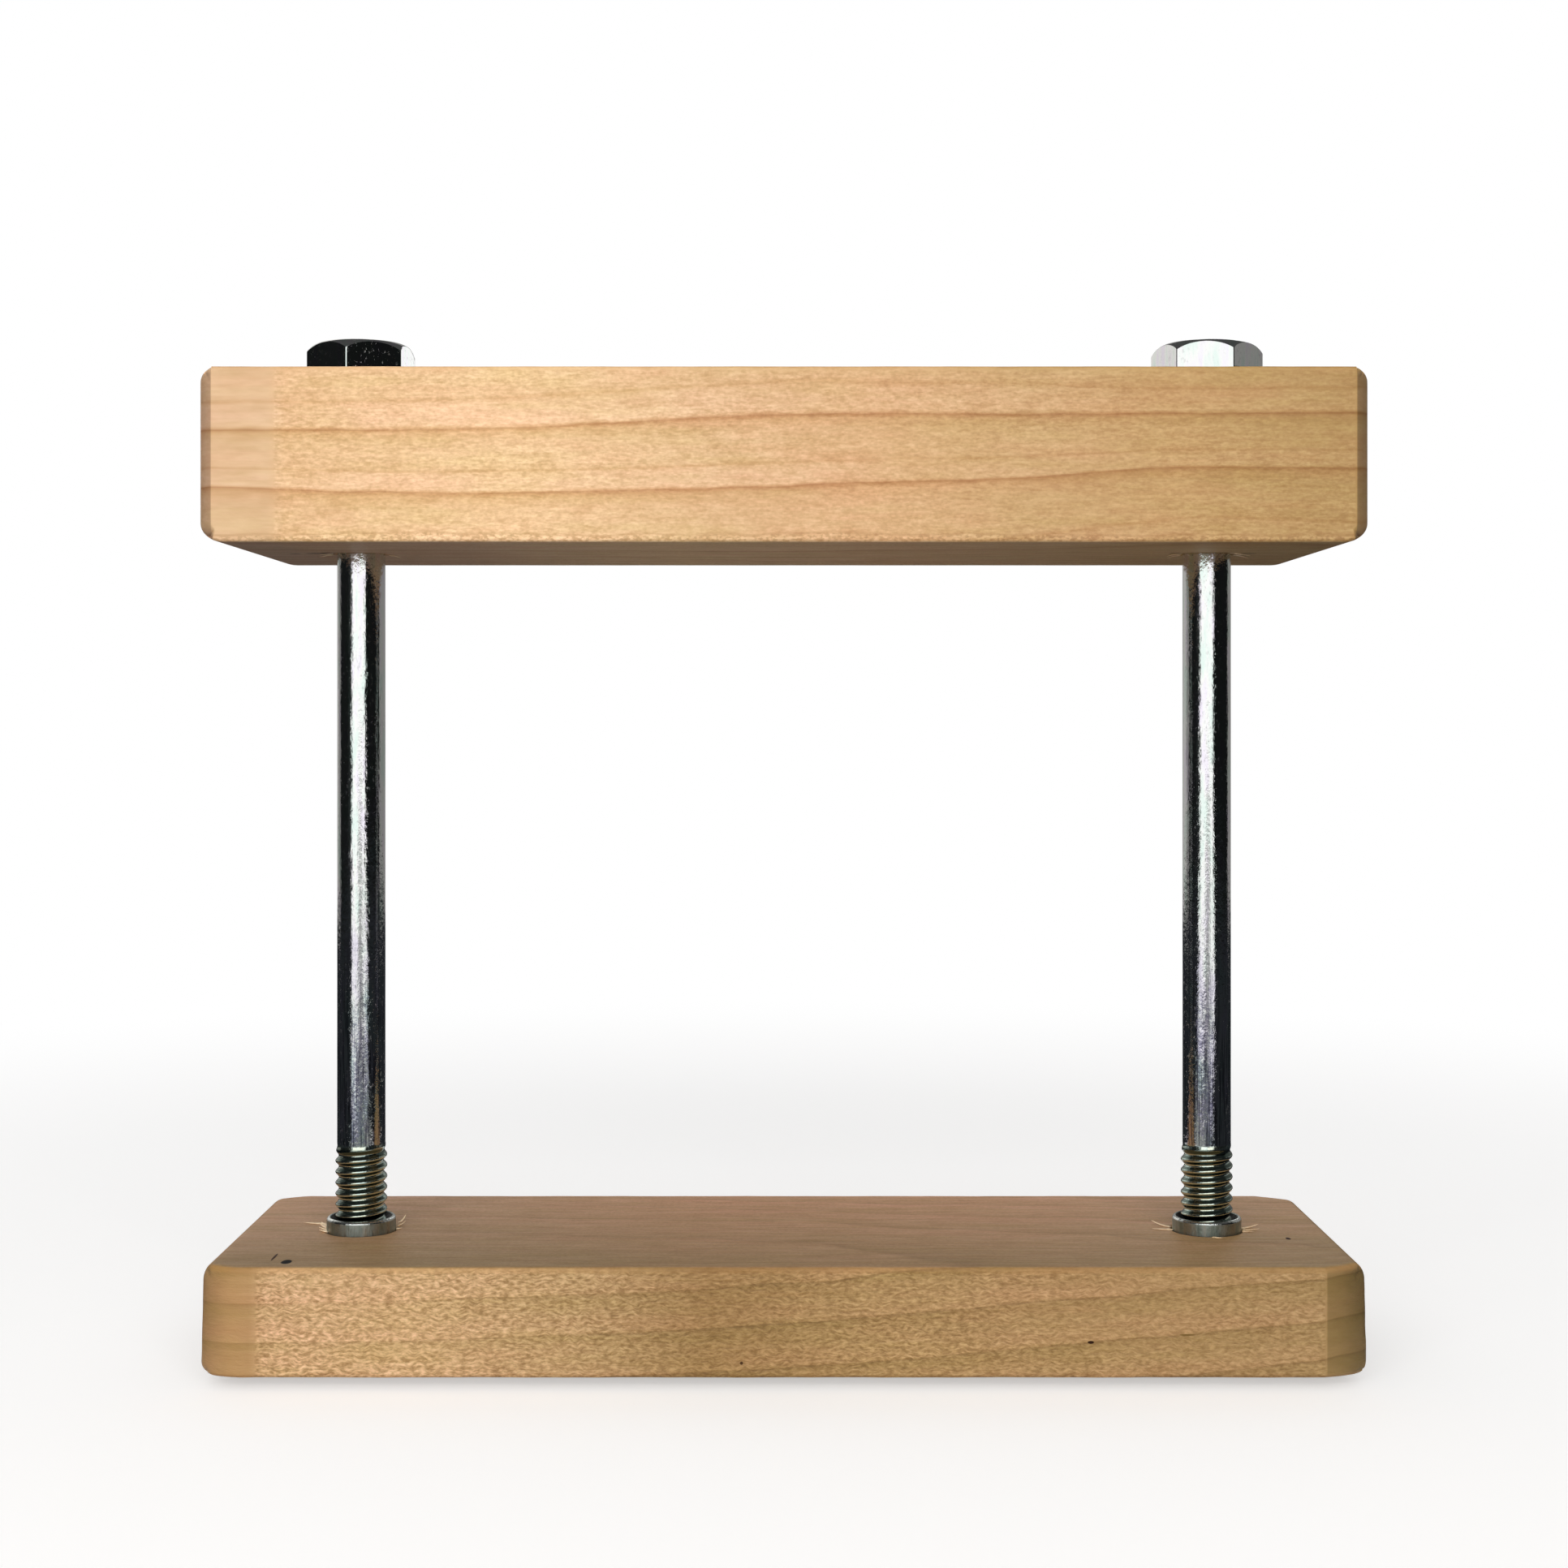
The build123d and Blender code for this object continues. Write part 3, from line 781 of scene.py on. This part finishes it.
upper_maple = maple(
    "upper_maple", (UPPER_LOW, UPPER_HIGH),
    # The upper jaw's tones along it are partly the wood's and partly painted light: lighter and paler
    # towards the left end, where the light falls.
    along=[(-62, (230, 190, 145)), (-56, (232, 192, 147)), (-54, (239, 195, 145)), (-30, (248, 207, 156)),
           (-8, (231, 189, 139)), (10, (225, 180, 129)), (26, (211, 170, 116)), (42, (201, 160, 102)),
           (60, (187, 149, 90))],
    # Underside tints are painted shade, darkest at the left end.
    under_painted_shade=[(-62, (.70, .72, .82)), (-38, (.70, .72, .82)), (-12, (1.05, 1.16, 1.25)),
                 (62, (1.0, 1.08, 1.3))],
    lines=[[(-64, 6.9), (-36, 6.9), (-18, 6.2), (1, 5.3), (30, 5.25), (64, 5.1)],
           [(-64, 13.1), (-36, 13.75), (1, 12.95), (27.6, 12.0), (42.7, 11.0), (64, 11.1)]],
    rings=UPPER_RINGS, beyond=.7, fleck_fade=(1.05, .9), plain_end=-55.2, worn_shaded_edge=.8,
    # End tints: partly end grain, partly painted shade on the corner facets, darker at the right end.
    end_grain_and_shade=[(-61.95, -62.12, (.70, .67, .71)), (61.95, 62.12, (.60, .62, .80))],
    # The marks under the upper jaw beside the bolt holes are dark torn wood, partly painted shade of the
    # holes.
    marks=[((-53.9, -1.9, 91.8), (1.5, .5, .3), (58, 42, 34)),
           ((-52.6, -2.6, 91.8), (.9, .35, .3), (66, 48, 38)),
           ((-56.6, -1.4, 91.8), (.7, .3, .3), (84, 62, 48)),
           ((53.4, -1.8, 91.8), (1.3, .35, .3), (74, 54, 42)),
           ((45.2, -2.2, 91.8), (.9, .35, .3), (84, 62, 48))])
LOWER_TOP = float(LOWER_HIGH[2])
lower_maple = maple(
    "lower_maple", (LOWER_LOW, LOWER_HIGH),
    along=[(-62, (186, 145, 92)), (-58, (186, 145, 93)), (-56, (212, 171, 123)), (-40, (210, 170, 121)),
           (-22, (187, 151, 101)), (-8, (158, 123, 71)), (10, (176, 140, 88)), (24, (176, 139, 89)),
           (40, (174, 138, 88)), (60, (171, 137, 88))],
    face_along=[(-62, (200, 158, 122)), (-40, (192, 154, 118)), (-10, (200, 156, 118)),
                (30, (204, 160, 122)), (62, (194, 156, 116))],
    lines=[[(-64, 8.3), (-36, 7.8), (-7, 6.6), (8, 5.45), (24, 4.05), (40.5, 2.67), (58.6, 1.3), (64, 1.0)],
           [(-64, 12.9), (-36, 12.6), (-1, 10.97), (17.6, 9.6), (33, 8.1), (44.4, 7.2), (58.6, 5.85),
            (64, 5.4)]],
    rings=LOWER_RINGS, ring_strength=(.5, .75), beyond=1.1, fleck_size=1.0, fleck_fade=(1.5, .95),
    colouring=(1.2, 1.7), plain_end=-57.2, worn_shaded_edge=.3,
    # End tints: partly end grain, partly painted shade on the corner facets, darker at the right end.
    end_grain_and_shade=[(-59.5, -63.4, (.80, .80, .88)), (58.7, 58.9, (.68, .69, .60)),
               (59.2, 63.5, (.66, .68, .74))],
    marks=[((-54.4, -16.4, LOWER_TOP), (.62, 1.1, .6), (8, 3, 3)),
           ((-56.2, -14.2, LOWER_TOP), (.16, 1.9, .5), (70, 44, 32)),
           ((57.6, -5.0, LOWER_TOP), (.3, .6, .4), (60, 36, 30)),
           ((33.2, -19.05, 5.2), (.36, .6, .17), (46, 26, 14)),
           ((43.6, -19.05, 6.0), (.9, .6, .1), (118, 92, 50)),
           ((-4.6, -19.05, 2.95), (.2, .4, .2), (76, 52, 32))])
fibre_maple = maple(
    "torn_maple_fibre", (UPPER_LOW, UPPER_HIGH),
    along=[(-62, (252, 226, 188)), (60, (244, 214, 176))],
    lines=[[(-64, 6), (64, 6)], [(-64, 12), (64, 12)]],
    rings=[(0, (1, 1, 1)), (1, (1, 1, 1))], ring_strength=(0, 0), plain_end=-80,
    end_grain_and_shade=[(-80, -81, (1, 1, 1)), (80, 81, (1, 1, 1))])


def zinc(name, bright, cool, warm, rough, scratch, thread_top=None, mouth=None):
    """Zinc plate: a mirror that leans to cool or warm in patches, with rough specks, dirt in its
    pits, and drawn scratches that run along the bolts. Low on a bolt the plate is worn by the
    nut, and the thread below thread_top is duller and olive, with painted shade on its flanks
    for the dark things that they reflect. Inside a nut's mouth, whose radius is given, the plate
    is painted near black as shade, and the nut is worn bright along its rim."""
    f = Finish(name)
    film = f.noise((1.1, 1.1, 5), detail=3)
    plate = f.ramp(film, [(.34, tone(*cool)), (.5, tone(*bright)), (.66, tone(*warm))])
    pits = f.noise((.3, .3, .8), roughness=.6)
    specks = f.noise((.34, .34, .5), roughness=.6)
    patches = f.smooth(f.noise((2.2, 2.2, 9)), .35, .7)
    grain = f.noise((.5, .5, .9), detail=4, roughness=.65)
    dirt = f.times(f.smooth(pits, .60, .72), f.times_plus(patches, .7, .3))
    roughness = f.scaled(grain, .3, .7, rough * .75, rough * 1.5)
    rubbed = f.times(f.smooth(specks, .56, .68), f.times_plus(patches, .5, .5))
    if thread_top or mouth:
        x, y, z = f.parts(f.place)
        past_axis = f.calc("SUBTRACT", f.calc("ABSOLUTE", x), BOLT_X)
        from_axis = f.length(f.add("CombineXYZ", {0: past_axis, 1: y}))
    if thread_top:
        dents = f.noise((1.1, 1.1, 3))
        drawn = f.noise((.24, .24, 6), detail=3, roughness=.6)
        low = f.scaled(z, 56, 28, .25, 1.0)
        dirt = f.times(dirt, low)
        rubbed = f.times(rubbed, f.times_plus(low, .4, .6))
        scored = f.times(f.smooth(drawn, .47, .60), f.smooth(z, 52, 30))
        plate = f.mix(f.times(scored, .72), plate, tone(66, 66, 86))
        on_thread = f.smooth(z, thread_top + .25, thread_top - .1)
        olive = f.mix(f.smooth(film, .4, .6), tone(224, 232, 212), tone(212, 230, 222))
        # Painted shade on the thread's flanks, standing in for the dark things they reflect.
        up_flank = f.calc("ABSOLUTE", f.scaled(from_axis, ROOT_RADIUS, CREST_RADIUS, -1, 1))
        painted_flank_shade = f.times(f.smooth(up_flank, .9, .5), f.smooth(z, thread_top - .15, thread_top - .6))
        olive = f.mix(painted_flank_shade, olive, tone(92, 108, 100))
        plate = f.mix(on_thread, plate, olive)
        roughness = f.mix(on_thread, f.times_plus(rubbed, .36, roughness), f.scaled(grain, .3, .7, .11, .2))
    else:
        roughness = f.times_plus(rubbed, .12, roughness)
    if mouth:
        worn = f.times(f.smooth(z, RIM_LEVEL - .42, RIM_LEVEL - .2), f.smooth(from_axis, mouth, mouth + .1))
        plate = f.mix(worn, plate, tone(226, 230, 226))
        roughness = f.times_plus(worn, f.calc("SUBTRACT", .16, roughness), roughness)
        # Painted shade: inside the mouth the plate is near black.
        plate = f.mix(f.smooth(from_axis, mouth - .02, mouth - .1), plate, tone(26, 26, 25))
    plate = f.mix(f.times(dirt, .75), plate, tone(58, 60, 62))
    f.feed(f.shader.inputs["Base Color"], plate)
    f.shader.inputs["Metallic"].default_value = 1.0
    f.feed(f.shader.inputs["Roughness"], roughness)
    if thread_top:
        uneven = f.times_plus(dents, 1.6, f.times_plus(drawn, .5, f.times_plus(specks, .8, grain)))
        f.relief(uneven, scratch, f.scaled(z, HEAD_SEAT - 1, HEAD_SEAT, .5, .08))
    else:
        f.relief(f.times_plus(pits, 1.6, grain), scratch, .5)
    return f.material


bolt_zinc = zinc("bright_zinc", (222, 223, 221), (208, 221, 215), (219, 214, 224), .05, .045, THREAD_TOP)
washer_zinc = zinc("washer_zinc", (206, 210, 210), (198, 208, 206), (212, 204, 212), .22, .01)
nut_zinc = zinc("dull_zinc", (166, 176, 172), (140, 154, 148), (174, 172, 160), .43, .07, mouth=MOUTH_RADIUS)

# The clamp's pieces

make_piece("upper_jaw_maple", board(UPPER_LOW, UPPER_HIGH, UPPER_EASING, BOLT_HOLE),
           "upper_jaw", upper_maple, ["upper_block"])
make_piece("lower_jaw_maple", board(LOWER_LOW, LOWER_HIGH, LOWER_EASING, BARREL_HOLE),
           "lower_jaw", lower_maple, ["lower_block"])
for side in ("left", "right"):
    make_piece(f"{side}_hex_bolt", hex_bolt(side), f"{side}_bolt", bolt_zinc, [f"bolt_{side}"])
    make_piece(f"{side}_flat_washer", flat_washer(side), f"{side}_washer",
               washer_zinc, [f"washer_{side}"])
    make_piece(f"{side}_tee_nut", tee_nut(side), "lower_jaw", nut_zinc, [f"tee_nut_{side}"])
make_piece("lower_jaw_torn_fibres", [fibre(LOWER_TOP, *tear) for tear in LOWER_TEARS],
           "lower_jaw", fibre_maple)
make_piece("upper_jaw_torn_fibres", [fibre(UPPER_LOW[2], *tear) for tear in UPPER_TEARS],
           "upper_jaw", fibre_maple)

# Studio, in metres

WHITE = (1, 1, 1, 1)
WARM_GREY = (1, .98, .95, 1)
COOL_DARK = (.9, 1, 1, 1)
AMBIENT = .22
OVERHEAD = .29
BEHIND = .34


def stage_mesh(name, points, material, glossy_only=False):
    """A sheet of the studio from a grid of points."""
    rows, columns = points.shape[:2]
    index = np.arange(rows * columns).reshape(rows, columns)
    faces = np.stack([index[:-1, :-1], index[:-1, 1:], index[1:, 1:], index[1:, :-1]], axis=-1)
    mesh = bpy.data.meshes.new(name)
    mesh.from_pydata(points.reshape(-1, 3), [], faces.reshape(-1, 4).tolist())
    mesh.materials.append(material)
    sheet = bpy.data.objects.new(name, mesh)
    bpy.context.scene.collection.objects.link(sheet)
    if glossy_only:
        sheet.visible_camera = False
        sheet.visible_diffuse = False
        sheet.visible_shadow = False
        sheet.visible_transmission = False


def glow(name, colour, strength):
    """A sheet's own even light."""
    material = bpy.data.materials.new(name)
    tree = NodeTree(material)
    tree.show(tree.add("Emission", {"Color": colour, "Strength": strength}))
    return material


def upright_card(name, plan, low, high, colour, strength):
    """A card that stands on a line of points seen from above, unseen but in metal."""
    points = [[(x, y, z) for z in (low, high)] for x, y in plan]
    stage_mesh(name, np.array(points), glow(name, colour, strength), glossy_only=True)


def bench_card(name, strength, level, plan):
    """A card that lies on the bench under the window, unseen but in metal: brighter the further it
    is from the clamp. The plan gives its left and right ends at each place in front of the clamp."""
    material = bpy.data.materials.new(name)
    tree = NodeTree(material)
    away = tree.length(tree.add("TexCoord", {}, output="Object"))
    falling = tree.ramp(away, [(.11, (.34, .36, .34, 1)), (.145, (.07, .07, .11, 1)),
                               (.18, (.26, .26, .36, 1)), (.24, (.62, .63, .72, 1)),
                               (.36, (1.2, 1.22, 1.2, 1))])
    tree.show(tree.add("Emission", {"Color": falling, "Strength": strength}))
    points = [[(left, y, level), (right, y, level)] for y, left, right in plan]
    stage_mesh(name, np.array(points), material, glossy_only=True)


# The room: white to the camera and in metal, and a soft light from above and behind on the rest
world = bpy.data.worlds.new("white_room")
bpy.context.scene.world = world
room = NodeTree(world)
direction = room.parts(room.add("TexCoord", {}, output="Generated"))
soft_light = room.scaled(direction[0], -1, 1, AMBIENT, AMBIENT * .3)
for part, most in ((2, OVERHEAD), (1, BEHIND)):
    soft_light = room.calc("ADD", soft_light, room.smooth(direction[part], 0, 1, 0, most))
soft = room.add("Background", {"Color": (1.0, .985, .98, 1), "Strength": soft_light})
white = room.add("Background", {"Color": WHITE, "Strength": 1.0})
room.show(room.add("MixShader", {0: room.seen_directly(), 1: soft, 2: white}))

# The window: an upright rectangle of even light in front of the clamp. Metal sees cards instead.
WINDOW_STRENGTH = 2.38
window_light = bpy.data.lights.new("window", "AREA")
window_light.shape = "RECTANGLE"
window_light.size = .855
window_light.size_y = .52
window_light.color = (1, .985, .96)
window_light.energy = 4 * WINDOW_STRENGTH * .855 * .52
window = bpy.data.objects.new("window", window_light)
window.location = (-.052, -.6, .26)
window.rotation_euler = (math.radians(90), 0, 0)
window.visible_camera = False
window.visible_glossy = False
bpy.context.scene.collection.objects.link(window)

# The floor: pale paper near the clamp that turns to plain white further off. The light that wood
# gets from it is darker, most of all from the left.
floor_finish = bpy.data.materials.new("pale_floor")
floor = NodeTree(floor_finish)
seen = floor.seen_directly()
place = floor.add("TexCoord", {}, output="Object")
in_shade = floor.ramp(floor.scaled(floor.parts(place)[0], -.16, 0),
                      [(0, (.24, .25, .29, 1)), (1, (.42, .43, .47, 1))])
paper = floor.add("BsdfDiffuse", {"Color": floor.mix(seen, in_shade, (.75, .75, .75, 1))})
lit = floor.add("Emission", {"Color": WHITE, "Strength": floor.times(seen, .47)})
near = floor.add("AddShader", {0: paper, 1: lit})
far = floor.add("Emission", {"Color": WHITE, "Strength": seen})
floor.show(floor.add("MixShader", {0: floor.smooth(floor.length(place), .10, .34), 1: near, 2: far}))
grid = np.linspace(-3, 3, 13)
stage_mesh("floor", flat_grid(grid, grid, [0.0]).swapaxes(0, 1), floor_finish)

# What metal sees round it: a window, dark flags beside it, and pale walls behind. Only the heads
# see what is above HEAD_VIEW.
CARD_TOP = .52
HEAD_VIEW = .16
PALE_PLAN = [(-.52, .38), (-.4, .52), (-.13, .6)]
CARDS = [
    ("window_in_metal", [(-.48, -.603), (.275, -.603)], 0, CARD_TOP, WHITE, 1.35),
    ("shaded_window_foot", [(-.1, -.6), (.12, -.6)], 0, .04, WHITE, .6),
    ("flag_by_window_left", [(-.475, -.602), (-.62, -.45)], 0, CARD_TOP, COOL_DARK, .028),
    ("flag_left", [(-.62, -.45), (-.62, .17)], 0, CARD_TOP, COOL_DARK, .010),
    ("flag_right", [(.272, -.602), (.62, -.45), (.62, .2)], 0, HEAD_VIEW, COOL_DARK, .008),
    ("flag_right_high", [(.272, -.602), (.62, -.45), (.62, .08)], HEAD_VIEW, CARD_TOP, COOL_DARK, .008),
    ("grey_left", [(-.62, .17), (-.52, .38)], 0, CARD_TOP, WARM_GREY, .26),
    ("pale_left", PALE_PLAN, 0, HEAD_VIEW, WARM_GREY, .5),
    ("pale_left_high", PALE_PLAN, HEAD_VIEW, CARD_TOP, WARM_GREY, .9),
    ("grey_right", [(.62, .2), (.45, .5), (.13, .6)], 0, HEAD_VIEW, WARM_GREY, .26),
    ("grey_right_high", [(.62, .08), (.62, .2), (.45, .5), (.26, .56)], HEAD_VIEW, CARD_TOP, WARM_GREY, .26),
    ("white_right_high", [(.26, .56), (.13, .6)], HEAD_VIEW, CARD_TOP, WHITE, 1.2),
    ("grey_back", [(-.13, .6), (.13, .6)], 0, CARD_TOP, WARM_GREY, .3)]
for card in CARDS:
    upright_card(*card)
stage_mesh("dim_ceiling", flat_grid([-.62, .62], [-.6, .6], [CARD_TOP]).swapaxes(0, 1),
           glow("dim_ceiling", WHITE, .07), glossy_only=True)
azimuth = np.radians(np.linspace(-180, 180, 73))[:, None]
radius = np.array([.075, .95])
ring = np.broadcast_arrays(radius * np.sin(azimuth), -radius * np.cos(azimuth), .0006)
stage_mesh("bench_in_metal", np.stack(ring, axis=-1), glow("dim_bench", (.85, .95, 1.1, 1), .022),
           glossy_only=True)
bench_card("lit_bench_in_metal", 1.0, .0009,
           [(-.05, -.11, .045), (-.1, -.13, .062), (-.3, -.28, .19), (-.6, -.48, .375)])
bench_card("shaded_bench_in_metal", .37, .0012,
           [(-.17, -.04, .04), (-.27, -.085, .075), (-.41, -.085, .075), (-.6, -.1, .12)])

# Camera

camera_data = bpy.data.cameras.new("camera")
camera_data.lens = 53.2
camera_data.sensor_width = 36
camera_data.shift_y = -.04
camera_data.clip_start = .01
camera = bpy.data.objects.new("camera", camera_data)
camera.location = (0, -.26975, .0724)
camera.rotation_euler = (math.radians(90), 0, 0)
bpy.context.scene.collection.objects.link(camera)
bpy.context.scene.camera = camera
bpy.context.scene.view_settings.view_transform = "Standard"
